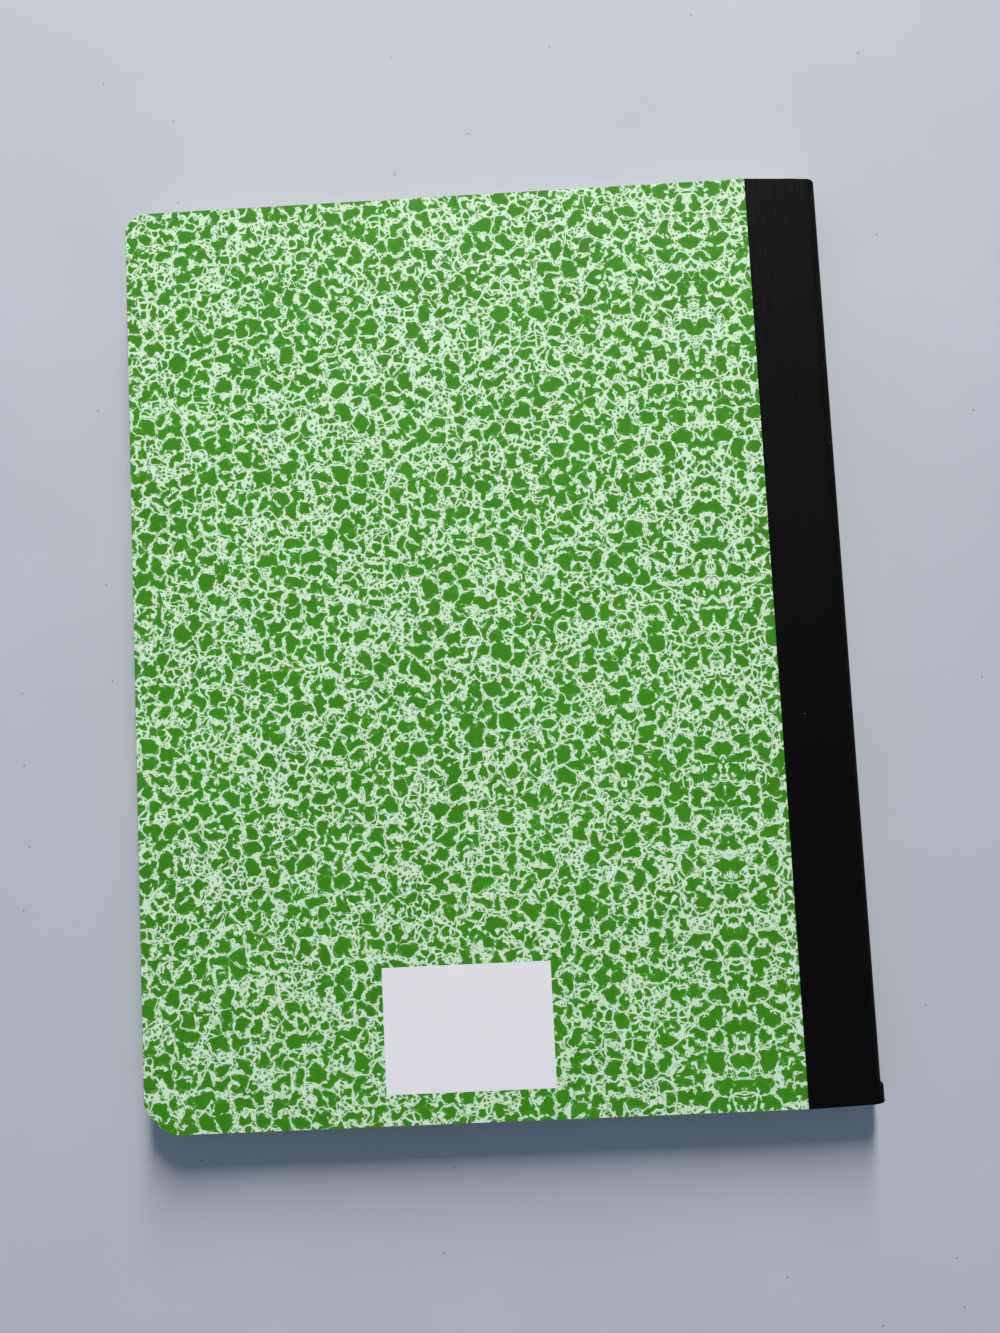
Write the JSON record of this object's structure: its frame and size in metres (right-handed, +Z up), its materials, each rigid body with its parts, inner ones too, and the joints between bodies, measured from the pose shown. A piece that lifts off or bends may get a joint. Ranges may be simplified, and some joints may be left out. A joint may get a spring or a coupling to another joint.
{
  "type": "composition notebook",
  "caption": "Sewn composition notebook with stiff marbled covers that open on a black cloth spine tape and a bare white panel on the back.",
  "frame": {"origin": "under the middle of the closed notebook's box, on the surface it lies on", "axes": "+X towards the spine, +Y towards the head of the pages, +Z up out of the back cover"},
  "size_m": [0.1912, 0.2476, 0.0102],
  "materials": {
    "printed_board": "matte",
    "white_print": "matte",
    "panel_print": "matte",
    "writing_paper": null,
    "cloth_tape": null,
    "thread": null
  },
  "bodies": {
    "pages": {"page_block": "writing_paper", "sewing_thread": "thread", "spine_tape_wrap": "cloth_tape"},
    "back_cover_body": {"back_cover": "printed_board", "back_label_panel": "panel_print", "back_marbling": "white_print", "back_tape_lap": "cloth_tape"},
    "front_cover_body": {"front_cover": "printed_board", "front_marbling": "white_print", "front_tape_lap": "cloth_tape"}
  },
  "joints": [
    {"name": "back_cover_hinge", "type": "hinge", "parent": "pages", "child": "back_cover_body", "pos_m": [0.09308, 0, 0.0097], "axis": [0, 1, 0], "range_deg": [0, 180]},
    {"name": "front_cover_hinge", "type": "hinge", "parent": "pages", "child": "front_cover_body", "pos_m": [0.09308, 0, 0.0005], "axis": [0, -1, 0], "range_deg": [0, 180]}
  ]
}
